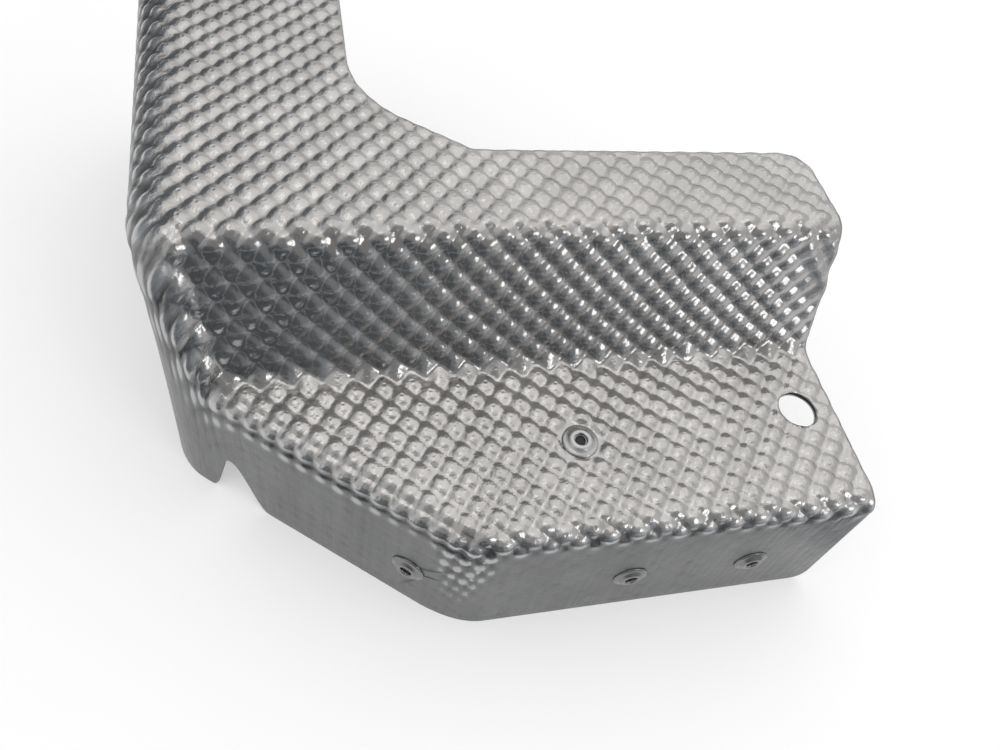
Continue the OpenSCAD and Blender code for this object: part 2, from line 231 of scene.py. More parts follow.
CORNER_A = (0.0, Y_FRONT + CHAMFER[1])
CORNER_B = (CHAMFER[0], Y_FRONT)
WALL = trace([(-(Y_ARM - CORNER_A[1]) * math.tan(math.radians(ARM_SPLAY)), Y_ARM), CORNER_A, CORNER_B,
              (COVER_W, Y_FRONT)], [0, LEFT_CORNER_R, FRONT_CORNER_R, 0])
M1, M2, M3, M4, M5 = np.cumsum([g[3] for g in WALL])
ARM_CORNER_Y = Y_STRIP + (STRIP_START - ARM_W) * math.tan(math.radians(CROTCH_SLOPE))
CUT = trace([(COVER_W, Y_FRONT), (COVER_W, Y_STRIP), (STRIP_START, Y_STRIP), (ARM_W, ARM_CORNER_Y), (ARM_W, Y_ARM)],
            [0, STRIP_CORNER_R, PITCH * math.sqrt(2), CROTCH_R, 0])


def bend_r(s):
    return ARM_EDGE_R + (FRONT_EDGE_R - ARM_EDGE_R) * ease(M1, M2 + 3, s)


def draft(s):
    corner, side, front = (math.tan(math.radians(a)) for a in (CORNER_DRAFT, SIDE_DRAFT, FRONT_DRAFT))
    a = corner * ease(M1 + 5, M1 + 33, s)
    a = a + (side - a) * ease(M2 - 18, M2, s)
    return a + (front - a) * ease(M3 + 2, M4, s)


def foot_z(s):
    top = NOTCH_AT + NOTCH_RISE + 1
    d = np.clip(s - M5 + END_CORNER_R, 0, END_CORNER_R)
    corner = END_CORNER_R - np.sqrt(END_CORNER_R ** 2 - d ** 2)
    rise, fall = ease(NOTCH_AT, NOTCH_AT + NOTCH_RISE, s - M1), ease(top, top + NOTCH_FALL, s - M1)
    return Z_FOOT + corner + NOTCH_H * rise * (1 - fall)


# Lattice of the embossing: one square net over the unrolled sheet, turned a little between shelf and arm
NET_AT = (102.3, -20.9)
NET_TURN_SHELF = 50.9
NET_TURN_ARM = 46.5

# Domes, in units of the pitch: radius, how much place, radius and height vary, and how sharply domes meet
DOME_R = 0.60
DOME_SHIFT = 0.035
DOME_R_VARIES = 0.015
DOME_H_VARIES = 0.06
DOME_JOIN = 7

# Nets of the two faces: cell, rows round the bend, rows down the wall. Some cells leave a tear at the left corner,
# and the cause isn't known: 0.64 and 0.67 do in the fine net. 1.5 does in the back net, where a column 4 mm wide is
# missing from the bend down to the foot. The inner sheet covers it, all but its lowest 2.5 mm, where that sheet is
# set back.
FINE_NET = (0.68, 16, 26)
BACK_NET = (1.5, 6, 4)


def lattice(x, v):
    """Net coordinates, with a dome at every whole number, at x and a length v along the section."""
    w = V_FOOT + FOOT_ARC / 2 - v
    a = np.radians(NET_TURN_SHELF + (NET_TURN_ARM - NET_TURN_SHELF) * ease(-5, 50, w))
    dx, dw = x - NET_AT[0], w - NET_AT[1]
    return (dx * np.cos(a) + dw * np.sin(a)) / PITCH, (-dx * np.sin(a) + dw * np.cos(a)) / PITCH


def chance(i, j, seed):
    """Even numbers from -1 to 1, one for each place of the net."""
    return 2 * np.modf(np.abs(np.sin(i * 12.9898 + j * 78.233 + seed * 37.719) * 43758.5453))[0] - 1


def dome(a, b):
    """Height of the embossing from -1 in the pits to 1 on the domes, each dome a little different."""
    total = np.zeros(a.shape)
    for i in (np.floor(a), np.floor(a) + 1):
        for j in (np.floor(b), np.floor(b) + 1):
            d = np.hypot(a - i - DOME_SHIFT * chance(i, j, 1), b - j - DOME_SHIFT * chance(i, j, 2))
            cap = np.clip(1 - (d / (DOME_R + DOME_R_VARIES * chance(i, j, 3))) ** 2, 0, 1)
            total += (cap * (1 + DOME_H_VARIES * chance(i, j, 4))) ** DOME_JOIN
    return 2 * np.clip(total, 1e-12, None) ** (1 / DOME_JOIN) - 1


def hump(s, a, b):
    """0 outside a to b, rising to 1 between them."""
    return ease(a, a + 0.4 * (b - a), s) * (1 - ease(b - 0.4 * (b - a), b, s))


class Sheet:
    """One face of the embossed sheet: a fine net of quads over the plateaus with the drawn edge hung on it."""

    def __init__(self, cell, rows_bend, rows_wall):
        self.rows_bend, self.rows = rows_bend, rows_bend + rows_wall
        nx = int(math.ceil((COVER_W + 8) / cell)) + 1
        ny = int(math.ceil(V_FRONT / cell)) + 1
        x, v = np.meshgrid(COVER_W - np.arange(nx) * cell, np.arange(ny) * cell, indexing="ij")
        y = section_y(v)
        p = np.stack([x.ravel(), y.ravel()], 1)
        dw, sw = near(WALL, p)
        dc, sc = near(CUT, p)
        r = bend_r(sw)
        d = dw - r
        reach = cell / 2
        hole = p - FIXING
        dh = np.linalg.norm(hole, axis=1)
        rivet = np.linalg.norm(p - SHELF_RIVET, axis=1) < 2.2
        out = (d < -reach) | (dc < -reach) | (dh - FIXING_R < -reach) | rivet
        kind = np.where(out, -1, np.where(d < reach, 1, np.where(dc < reach, 2, np.where(dh - FIXING_R < reach, 3, 0))))
        q, h = along(WALL, sw)
        p = np.where((kind == 1)[:, None], q + lefts(h) * r[:, None], p)
        q, h = along(CUT, sc)
        p = np.where((kind == 2)[:, None], q, p)
        p = np.where((kind == 3)[:, None], FIXING + hole * (FIXING_R / np.maximum(dh, 1e-6))[:, None], p)
        end = np.arange(len(p)) % ny == 0
        p[end, 1] = Y_ARM
        self.nx, self.ny, self.kind, self.end = nx, ny, kind, end
        self.plan, self.s, self.trim = p, sw, np.clip(np.minimum(dc, (dh - FIXING_R) * 1.6), 0, None)
        self.cells()
        self.hang()

    def cells(self):
        nx, ny, kind = self.nx, self.ny, self.kind
        i, j = np.meshgrid(np.arange(nx - 1), np.arange(ny - 1), indexing="ij")
        a = (i * ny + j).ravel()
        quad = np.stack([a, a + ny, a + ny + 1, a + 1], 1)
        on = kind[quad] >= 0
        whole = quad[on.all(1)]
        three = quad[on.sum(1) == 3]
        gap = (~(kind[three] >= 0)).argmax(1)
        tri = np.stack([three[np.arange(len(three)), (gap + k) % 4] for k in (1, 2, 3)], 1)

        def flat(f):
            k = kind[f]
            return (k[:, :1] > 0).ravel() & (k == k[:, :1]).all(1)

        whole_flat = flat(whole)
        edge_cell = (kind[whole] > 0).sum(1) >= 3
        loose = whole[edge_cell & ~whole_flat]
        tri2 = np.concatenate([loose[:, [0, 1, 3]], loose[:, [1, 2, 3]]])
        tri = np.concatenate([tri, tri2])
        tri = tri[~flat(tri)]
        self.quads = whole[~edge_cell]
        self.tris = tri
        edges = np.concatenate([np.stack([self.quads[:, k], self.quads[:, (k + 1) % 4]], 1) for k in range(4)]
                               + [np.stack([tri[:, k], tri[:, (k + 1) % 3]], 1) for k in range(3)])
        size = len(kind)
        key = edges[:, 0] * size + edges[:, 1]
        back = edges[:, 1] * size + edges[:, 0]
        self.ring = edges[~np.isin(key, back)]

    def hang(self):
        """Rows of the drawn edge under every place on the wall bend."""
        self.rim = self.kind == 1
        self.rank = np.cumsum(self.rim) - 1
        s, end = self.s[self.rim], self.end[self.rim]
        q, h = along(WALL, s)
        n, r, f = -lefts(h), bend_r(s), draft(s)
        y_in = q[:, 1] - n[:, 1] * r
        slope, top = section_slope(y_in), section_z(y_in)
        up = np.stack([np.zeros_like(s), -np.sin(slope), np.cos(slope)], 1)
        flat_n = np.concatenate([n, np.zeros((len(n), 1))], 1)
        self.points, self.normals, self.down, self.turned = [], [], [], []
        self.s_rim = s
        for k in range(1, self.rows + 1):
            a = min(k / self.rows_bend, 1) * math.pi / 2
            z1 = top - r * (1 - math.cos(a))
            u = (max(0, k - self.rows_bend) / (self.rows - self.rows_bend)) ** 1.35
            z = z1 + (foot_z(s) - z1) * u
            plan = q - n * (r * (1 - math.sin(a)))[:, None] + n * (f * (z1 - z))[:, None]
            wall_n = np.concatenate([n, f[:, None]], 1)
            m = up * math.cos(a) + flat_n * math.sin(a) if k < self.rows_bend else wall_n
            self.points.append(np.concatenate([plan, z[:, None]], 1))
            self.normals.append(m / np.linalg.norm(m, axis=1)[:, None])
            self.down.append(r * a + (z1 - z))
            self.turned.append(np.full(len(s), a / (math.pi / 2)))
        self.n, self.ends = n, end

    def place(self, side):
        """Points of the face at side * half the sheet's thickness, its two coordinate maps, and its values: share
        of the wall, relief from -1 to 1, and tone, the share of the walls' darker colour, which is painted shade."""
        p = self.plan
        slope = section_slope(p[:, 1])
        v = section_v(p[:, 1])
        a, b = lattice(p[:, 0], v)
        relief = pressing(a, b, p, self.s, np.zeros(len(p)), self.trim)
        d = side * SHEET_T / 2 + EMBOSS_H / 2 * relief + damage(p)
        top = np.stack([p[:, 0], p[:, 1] - np.sin(slope) * d, section_z(p[:, 1]) + np.cos(slope) * d], 1)
        rim = self.rim
        n = self.n
        x0, v0 = p[rim, 0], v[rim]
        hung, uv, share, run, raised, bend_shade = [], [], [], [], [], []
        trim = np.maximum(COVER_W - x0, 0)
        for q, m, down, turned in zip(self.points, self.normals, self.down, self.turned):
            arc = bend_r(self.s_rim) * math.pi / 2
            pulled = down - 0.6 * hump(self.s_rim, M1 - 8, M2 + 4) * np.maximum(down - 0.35 * arc, 0)
            ax, av = x0 + n[:, 0] * pulled, v0 - n[:, 1] * pulled
            ha, hb = lattice(ax, av)
            raised.append(pressing(ha, hb, q, self.s_rim, down, trim))
            pos = q + m * (side * SHEET_T / 2 + EMBOSS_H / 2 * raised[-1])[:, None]
            pos[self.ends, 1] = Y_ARM
            hung.append(pos)
            uv.append(np.stack([ha, hb], 1))
            share.append(np.clip(down / 12, 0, 1))
            # painted shade: the bend's rows take more of the walls' darker grey as they turn down
            bend_shade.append(ease(0.42 - 0.27 * ease(6, 12, bend_r(self.s_rim)), 0.96, turned))
            run.append(np.stack([self.s_rim, down], 1) / PITCH)
        count = len(hung[0])
        hung = np.stack(hung, 1).reshape(count * self.rows, 3)
        uv = np.stack(uv, 1).reshape(-1, 2)
        share = np.stack(share, 1).reshape(-1)
        run = np.stack(run, 1).reshape(-1, 2)
        run0 = np.stack([self.s, 0 * self.s], 1) / PITCH
        raised, bend_shade = (np.stack(rows, 1).reshape(-1) for rows in (raised, bend_shade))
        # painted shade: the riser takes a quarter of the walls' darker grey, its bends less
        tone = 0.25 * slope / RISER_A
        return (np.concatenate([top, hung]),
                {"net": np.concatenate([np.stack([a, b], 1), uv]), "run": np.concatenate([run0, run])},
                {"wall": np.concatenate([np.zeros(len(p)), share]), "relief": np.concatenate([relief, raised]),
                 "tone": np.concatenate([tone, np.maximum(bend_shade, np.repeat(tone[rim], self.rows))])})

    def low(self, k, row):
        return np.where(row == 0, k, len(self.kind) + self.rank[k] * self.rows + row - 1)

    def faces(self):
        """Quads and triangles of the face, seen from outside, the drawn strips included, and the lowest edge."""
        a, b = self.ring[:, 0], self.ring[:, 1]
        drawn = self.rim[a] & self.rim[b]
        da, db = a[drawn], b[drawn]
        strips = [np.stack([self.low(da, k), self.low(da, k + 1), self.low(db, k + 1), self.low(db, k)], 1)
                  for k in range(self.rows)]
        # the loops run with the sheet on their left, so the strips are turned to face outward
        foot = np.stack([self.low(da, self.rows), self.low(db, self.rows)], 1)
        edges = np.concatenate([self.ring[~drawn], foot])
        sides = []
        for at, keep in ((da, da % self.ny == 0), (db, db < self.ny)):
            for k in range(self.rows):
                pair = np.stack([self.low(at[keep], k), self.low(at[keep], k + 1)], 1)
                sides.append(pair if at is da else pair[:, ::-1])
        return np.concatenate([self.quads] + strips), self.tris, np.concatenate([edges] + sides)


def mesh_object(name, verts, faces, maps, values):
    """A smooth mesh in the row frame from points in helper millimetres, with coordinate maps and point values."""
    used = np.unique(np.concatenate([f.ravel() for f in faces]))
    rank = np.full(len(verts), -1)
    rank[used] = np.arange(len(used))
    me = bpy.data.meshes.new(name)
    me.from_pydata(((verts[used] + SHIFT) / 1000).tolist(), [], [q for f in faces for q in rank[f].tolist()])
    loops = np.zeros(len(me.loops), dtype=np.int32)
    me.loops.foreach_get("vertex_index", loops)
    for key, uv in maps.items():
        layer = me.uv_layers.new(name=key)
        layer.data.foreach_set("uv", uv[used][loops].ravel())
    for key, value in values.items():
        attr = me.attributes.new(key, "FLOAT", "POINT")
        attr.data.foreach_set("value", value[used].astype(np.float32))
    me.validate()
    me.shade_smooth()
    obj = bpy.data.objects.new(name, me)
    bpy.context.scene.collection.objects.link(obj)
    return obj


# Domes pressed flat beside the riser's folds: place, reach and share
SQUASHED_AT = (175, 11)
SQUASHED_REACH = (7, 5)
SQUASHED = 0.7


def pressing(a, b, p, s, down, trim):
    """Share of the embossing at each place: full on the plateaus, pressed flat along the trimmed edges and
    under the shelf rivet, drawn smooth down the walls, last of all at the two corners."""
    arc, wide = bend_r(s) * math.pi / 2, ease(6, 12, bend_r(s))
    left, front = hump(s, M1 - 8, M2 + 4), hump(s, M3 - 1, M4 + 1)
    side = hump(s, M2 - 8, M3 + 4)
    fade = 1 - ease((0.64 - 0.24 * wide) * arc, arc + 3 - 4 * wide + 4 * side + 26 * left + 36 * front, down) * 0.93
    fade = fade * (1 - 0.8 * ease(arc + 18 + 8 * front, arc + 32 + 8 * front, down))
    fade = fade * (1 + 0.25 * front * ease(0, 6, down))
    edge = 0.3 + 0.7 * ease(0, 2.6, trim)
    seat = ease(RIVET_HEAD_R + 0.1, RIVET_HEAD_R + 1.6, np.hypot(p[:, 0] - SHELF_RIVET[0], p[:, 1] - SHELF_RIVET[1]))
    squash = 1 - SQUASHED * np.exp(-(((p[:, 0] - SQUASHED_AT[0]) / SQUASHED_REACH[0]) ** 2
                                     + ((p[:, 1] - SQUASHED_AT[1]) / SQUASHED_REACH[1]) ** 2))
    riser = ease(-1.0, 3.0, p[:, 1]) * (1 - ease(13.0, 18.0, p[:, 1])) * (down == 0)
    squash = squash * (1 - riser * 0.35 * (1 - ease(20, 75, p[:, 0])))
    return (dome(a, b) * seat - (1 - seat)) * fade * edge * squash


def from_line(p, a, b):
    """Distance from a straight mark and the share of its length."""
    a, b = np.array(a, float), np.array(b, float)
    t = np.clip((p - a) @ (b - a) / ((b - a) @ (b - a)), 0, 1)
    return np.linalg.norm(p - a - t[:, None] * (b - a), axis=1), t


# Folds pressed into the riser beside its right edge: start, end, height and width
RISER_FOLDS = [((166.5, 15.5), (180.0, 7.4), 0.7, 1.0), ((168.5, 16.0), (180.0, 9.4), -0.35, 0.8),
               ((172.0, 16.0), (180.0, 11.6), 0.5, 0.8)]


def damage(p):
    """Height that the riser's folds add."""
    total = np.zeros(len(p))
    for a, b, height, width in RISER_FOLDS:
        d, t = from_line(p, a, b)
        total += height * np.exp(-(d / width) ** 2) * ease(0, 0.25, t)
    return total


# Cut edge round the fixing hole: how far it reaches below the sheet's lower face, to just over the inner sheet, and its
# tone, which paints it near black as the hole's shade
BORE_REACH = 0.08
BORE_SHADE = 4.0


def build_outer():
    """The outer sheet: a fine outer face, a coarser inner face and the cut rim between them, which is joined to
    the outer face only.
    """
    fine, back = Sheet(*FINE_NET), Sheet(*BACK_NET)
    top, maps, values = fine.place(1)
    rim_under, _, _ = fine.place(-1)
    under, maps2, values2 = back.place(-1)
    quads, tris, edges = fine.faces()
    quads2, tris2, _ = back.faces()
    # round the fixing hole the cut edge reaches down to just over the inner sheet, and is painted near black as the
    # hole's shade
    bored = np.flatnonzero(fine.kind == 3)
    rim_under[bored, 2] = -EMBOSS_H / 2 - SHEET_T / 2 - BORE_REACH
    n = len(top)
    rim = np.stack([edges[:, 0], edges[:, 0] + n, edges[:, 1] + n, edges[:, 1]], 1)
    verts = np.concatenate([top, rim_under, under])
    faces = [quads, tris, rim, quads2[:, ::-1] + 2 * n, tris2[:, ::-1] + 2 * n]
    maps = {key: np.concatenate([maps[key], maps[key], maps2[key]]) for key in maps}
    values = {key: np.concatenate([values[key], values[key], values2[key]]) for key in values}
    values["tone"][bored + n] = BORE_SHADE
    return mesh_object("embossed_sheet", verts, faces, maps, values)


embossed = build_outer()
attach(embossed, "root")
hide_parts("outer_shell")


# Materials
class Nodes:
    """A short way to write a node tree."""

    def __init__(self, name):
        self.mat = bpy.data.materials.new(name)
        self.mat.use_nodes = True
        self.tree = self.mat.node_tree
        self.tree.nodes.clear()
        self.out = self.tree.nodes.new("ShaderNodeOutputMaterial")

    def add(self, kind, inputs=None, **props):
        node = self.tree.nodes.new(kind)
        for k, v in props.items():
            setattr(node, k, v)
        for k, v in (inputs or {}).items():
            self.link(v, node.inputs[k])
        return node

    def link(self, value, socket):
        if isinstance(value, bpy.types.NodeSocket):
            self.tree.links.new(value, socket)
        elif isinstance(value, bpy.types.Node):
            self.tree.links.new(value.outputs[0], socket)
        else:
            socket.default_value = value

    def math(self, op, a, b=0.0, clamp=False):
        return self.add("ShaderNodeMath", {0: a, 1: b}, operation=op, use_clamp=clamp).outputs[0]

    def span(self, value, lo, hi, to_lo=0.0, to_hi=1.0):
        node = self.add("ShaderNodeMapRange", {"Value": value, "From Min": lo, "From Max": hi, "To Min": to_lo,
                                               "To Max": to_hi}, interpolation_type="SMOOTHSTEP")
        return node.outputs["Result"]

    def noise(self, vector, scale, detail=2.0):
        return self.add("ShaderNodeTexNoise", {"Vector": vector, "Scale": scale, "Detail": detail}).outputs["Fac"]

    def fold(self, uv, a, b, width):
        """1 on the straight mark from a to b of a map, fading to its sides and its end."""
        a, b = Vector((*a, 0.0)), Vector((*b, 0.0))
        length = (b - a).length
        way = (b - a) / length
        off = self.add("ShaderNodeVectorMath", {0: uv, 1: tuple(a)}, operation="SUBTRACT").outputs[0]
        on = self.add("ShaderNodeVectorMath", {0: off, 1: tuple(way)}, operation="DOT_PRODUCT").outputs["Value"]
        side = self.add("ShaderNodeVectorMath", {0: off, 1: (-way.y, way.x, 0.0)},
                        operation="DOT_PRODUCT").outputs["Value"]
        near_it = self.span(self.math("ABSOLUTE", side), 0.0, width, 1.0, 0.0)
        share = self.math("MULTIPLY", self.span(on, -0.1, 0.05), self.span(on, 0.2 * length, length, 1.0, 0.0))
        return self.math("MULTIPLY", near_it, share)

    def colours(self, fac, a, b):
        node = self.add("ShaderNodeMix", data_type="RGBA")
        self.link(fac, node.inputs["Factor"])
        self.link(a, node.inputs["A"])
        self.link(b, node.inputs["B"])
        return node.outputs["Result"]


def grey(v, warm=0.0):
    return (v * (1 + warm), v, v * (1 - warm), 1.0)


# Base greys of the embossed sheet: plateaus, and the drawn walls, whose darker grey is painted shade of the same metal
SHEET_GREYS = (0.40, 0.47)
WALL_SHADE_GREYS = (0.155, 0.215)
# Finely crinkled spots on the shelf: place and radius. Folds of the front-left wall, from and to, round its rivet
CRINKLES = ((80, -32, 5.0), (86, -31, 4.0), (97.5, -34, 4.5))
RIVET_FOLDS = (((3.0, -3.5), (14.0, -12.5)), ((4.6, -1.0), (11.0, -4.0)), ((2.5, 4.0), (-2.5, 14.0)))


def sheet_material():
    m = Nodes("embossed_aluminium")
    net = m.add("ShaderNodeUVMap", uv_map="net").outputs["UV"]
    run = m.add("ShaderNodeUVMap", uv_map="run").outputs["UV"]
    wall = m.add("ShaderNodeAttribute", attribute_name="wall").outputs["Fac"]
    tone = m.add("ShaderNodeAttribute", attribute_name="tone").outputs["Fac"]
    relief = m.add("ShaderNodeAttribute", attribute_name="relief").outputs["Fac"]
    place = m.add("ShaderNodeTexCoord").outputs["Object"]
    # distance from the nearest dome's centre, for the small dent that the tool leaves on top of each dome
    half = m.add("ShaderNodeVectorMath", {0: net, 1: (0.5, 0.5, 0.0)}, operation="ADD").outputs[0]
    cell = m.add("ShaderNodeVectorMath", {0: half}, operation="FRACTION").outputs[0]
    off = m.add("ShaderNodeVectorMath", {0: cell, 1: (0.5, 0.5, 0.0)}, operation="SUBTRACT").outputs[0]
    dist = m.add("ShaderNodeVectorMath", {0: off}, operation="LENGTH").outputs["Value"]
    dent = m.span(dist, 0.03, 0.12, -1.0, 0.0)
    grain = m.noise(place, 900.0, 3.0)
    lumps = m.noise(net, 3.2, 3.0)
    streak_at = m.add("ShaderNodeVectorMath", {0: run, 1: (1.35, 0.10, 1.0)}, operation="MULTIPLY").outputs[0]
    streak = m.noise(streak_at, 1.6, 3.0)
    open_net = m.math("SUBTRACT", 1.0, wall)
    deep = m.math("MULTIPLY", m.math("MULTIPLY", open_net, dent), m.span(tone, 0.0, 0.2, 0.00008, 0.00003))
    height = m.math("ADD", deep, m.math("MULTIPLY", grain, 0.00003))
    fine = m.noise(place, 1300.0, 3.0)
    for x, y, size in CRINKLES:
        spot = tuple((np.array([x, y, 0.5]) + SHIFT) / 1000)
        away = m.add("ShaderNodeVectorMath", {0: place, 1: spot}, operation="DISTANCE").outputs["Value"]
        rub = m.span(away, size * 0.0003, size * 0.001, 0.00014, 0.0)
        height = m.math("ADD", height, m.math("MULTIPLY", fine, rub))
    height = m.math("ADD", height, m.math("MULTIPLY", lumps, m.span(tone, 0.0, 0.3, 0.00022, 0.00012)))
    height = m.math("ADD", height, m.math("MULTIPLY", m.math("MULTIPLY", streak, wall), 0.00035))
    # folds of the front-left wall that start at its rivet
    at = np.array([M3 + FRONT_CORNER_R * math.tan((WALL[4][1] - WALL[2][1]) / 2) - SIDE_RIVET_S,
                   WALL_RIVET_Z + FRONT_EDGE_R * (math.pi / 2 - 1)])
    folds = [m.fold(run, (at + a) / PITCH, (at + b) / PITCH, 0.14) for a, b in RIVET_FOLDS]
    fold = m.math("MAXIMUM", m.math("MAXIMUM", folds[0], folds[1]), folds[2])
    height = m.math("ADD", height, m.math("MULTIPLY", fold, -0.0004))
    bump = m.add("ShaderNodeBump", {"Height": height, "Strength": 1.0, "Distance": 1.0})
    worn = m.span(m.noise(place, 60.0, 4.0), 0.35, 0.7)
    base = m.colours(worn, grey(SHEET_GREYS[0], 0.02), grey(SHEET_GREYS[1], 0.02))
    # painted shade: the walls' darker greys, streaked along the walls
    low = m.colours(streak, grey(WALL_SHADE_GREYS[0], -0.01), grey(WALL_SHADE_GREYS[1], -0.01))
    drawn = m.span(wall, 0.1, 0.6)
    # painted shade: drawn hollows darkened towards near black
    hollow_shade = m.math("MULTIPLY", drawn, m.span(relief, -0.8, -0.05, 0.4, 0.0))
    # painted highlight: drawn crests lightened towards pale grey
    crest_highlight = m.math("MULTIPLY", drawn, m.span(relief, 0.08, 0.6, 0.0, 0.45))
    # painted shade darkens the pits between domes, where the walls' darker grey shows
    spots = m.math("MULTIPLY", m.span(dist, 0.40, 0.62), m.span(m.noise(net, 0.6, 2.0), 0.4, 0.65, 0.0, 0.4))
    low = m.colours(spots, low, grey(0.09))
    colour = m.colours(crest_highlight, m.colours(tone, base, low), grey(0.8))
    colour = m.colours(hollow_shade, colour, grey(0.05))
    # painted shade darkens the creases of the front-left wall's folds
    colour = m.colours(m.math("MULTIPLY", fold, 0.6), colour, grey(0.05))
    # painted shade: the fixing hole's cut edge is near black
    colour = m.colours(m.span(tone, 1.2, 3.0), colour, grey(0.03))
    rough = m.math("ADD", m.math("MULTIPLY", worn, 0.07), m.math("ADD", 0.17, m.math("MULTIPLY", wall, 0.16)))
    shader = m.add("ShaderNodeBsdfPrincipled", {"Base Color": colour, "Roughness": rough, "Normal": bump})
    shader.inputs["Metallic"].default_value = 1.0
    m.link(shader, m.out.inputs["Surface"])
    return m.mat


def plain_metal(name, tone, rough, scale):
    m = Nodes(name)
    place = m.add("ShaderNodeTexCoord").outputs["Object"]
    worn = m.noise(place, scale, 4.0)
    fine = m.noise(place, scale * 12, 2.0)
    bump = m.add("ShaderNodeBump", {"Height": fine, "Strength": 0.12, "Distance": 0.0004})
    shader = m.add("ShaderNodeBsdfPrincipled", {
        "Base Color": m.colours(worn, grey(tone * 0.85), grey(tone * 1.1)),
        "Roughness": m.span(worn, 0.3, 0.7, rough * 0.8, rough * 1.2), "Normal": bump})
    shader.inputs["Metallic"].default_value = 1.0
    m.link(shader, m.out.inputs["Surface"])
    return m.mat


def dress(node, material):
    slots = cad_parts[node].material_slots
    for k in range(len(slots)):
        slots[k].link = "OBJECT"
        slots[k].material = material


# Blind rivets: place of the outer sheet's middle and the axis that leaves it
def wall_rivet(q, h, f):
    n = -lefts(np.array(h))
    d = f * (WALL_RIVET_Z - FRONT_EDGE_R)
    axis = np.array([n[0], n[1], f])
    return np.array([q[0] + n[0] * d, q[1] + n[1] * d, -WALL_RIVET_Z]), axis / np.linalg.norm(axis)


SIDE_H = WALL[2][1]
SIDE_F, FRONT_F = math.tan(math.radians(SIDE_DRAFT)), math.tan(math.radians(FRONT_DRAFT))
RIVETS = {
    "shelf": (np.array([SHELF_RIVET[0], SHELF_RIVET[1], -EMBOSS_H / 2]), np.array([0.0, 0.0, 1.0])),
    "side": wall_rivet(np.array(CORNER_B) - SIDE_RIVET_S * dirs(np.array(SIDE_H)), SIDE_H, SIDE_F),
    "front_a": wall_rivet((FRONT_RIVET_A, Y_FRONT), 0.0, FRONT_F),
    "front_b": wall_rivet((FRONT_RIVET_B, Y_FRONT), 0.0, FRONT_F),
}
# Turned profiles: radius, and height over the outer sheet's face
HEAD = [(1.62, 0.50), (1.62, 1.12), (1.78, 1.28), (2.05, 1.36), (2.45, 1.36), (2.8, 1.27), (3.1, 1.08), (3.45, 0.82),
        (3.95, 0.62), (4.4, 0.50), (4.65, 0.38), (4.75, 0.22), (4.72, 0.02), (2.4, 0.0)]
TAIL = [(2.4, -1.1), (3.3, -1.12), (3.5, -1.35), (3.5, -3.7), (3.35, -4.15), (2.5, -5.9), (2.2, -6.1), (1.4, -6.1),
        (1.4, 0.50)]
PIN = [(0.0, 0.62), (0.5, 0.55), (0.95, 0.62), (1.3, 0.50), (1.36, 0.40), (1.36, -6.1), (2.2, -6.15), (2.2, -7.3),
       (1.9, -7.62), (0.0, -7.7)]


LATHE_TURNS = 48


def lathe(name, profile, place, closed):
    """A turned piece round a rivet's axis, its profile a closed loop or an open line from axis to axis."""
    at, axis = place
    side = np.cross(axis, (0.0, 1.0, 0.0) if abs(axis[2]) > 0.5 else (0.0, 0.0, 1.0))
    side /= np.linalg.norm(side)
    other = np.cross(axis, side)
    turns, count = LATHE_TURNS, len(profile)
    verts, first = [], []
    for r, z in profile:
        first.append(len(verts))
        for k in range(turns if r > 0 else 1):
            a = 2 * math.pi * k / turns
            verts.append(at + r * (math.cos(a) * side + math.sin(a) * other) + (z + SHEET_T / 2) * axis)
    faces = []
    for k in range(count if closed else count - 1):
        a, b = k, (k + 1) % count
        for m in range(turns):
            n = (m + 1) % turns
            pa = (first[a] + m, first[a] + n) if profile[a][0] > 0 else (first[a],)
            pb = (first[b] + m, first[b] + n) if profile[b][0] > 0 else (first[b],)
            faces.append((*pa, *pb[::-1]))
    me = bpy.data.meshes.new(name)
    me.from_pydata(((np.array(verts) + SHIFT) / 1000).tolist(), [], faces)
    me.validate()
    me.shade_smooth()
    me.set_sharp_from_angle(angle=math.radians(50))
    obj = bpy.data.objects.new(name, me)
    bpy.context.scene.collection.objects.link(obj)
    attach(obj, "root")
    return obj


embossed.data.materials.append(sheet_material())
dress("inner_shell", plain_metal("inner_sheet_metal", 0.45, 0.38, 120.0))
# the wall rivets' darker grey is painted shade; they are the same metal as the shelf rivet
rivet_metal = {True: plain_metal("rivet_metal", 0.45, 0.24, 300.0),
               False: plain_metal("wall_rivet_painted_shade", 0.24, 0.24, 300.0)}
# the mandrel is painted near black as the shade inside the rivets' holes
mandrel_painted_shade = plain_metal("mandrel_painted_shade", 0.05, 0.5, 300.0)
for key, place in RIVETS.items():
    body = lathe("blind_rivet_" + key, HEAD + TAIL, place, True)
    body.data.materials.append(rivet_metal[key == "shelf"])
    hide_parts("rivet_" + key)
    pin = lathe("broken_mandrel_" + key, PIN, place, False)
    pin.data.materials.append(mandrel_painted_shade)
    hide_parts("mandrel_" + key)


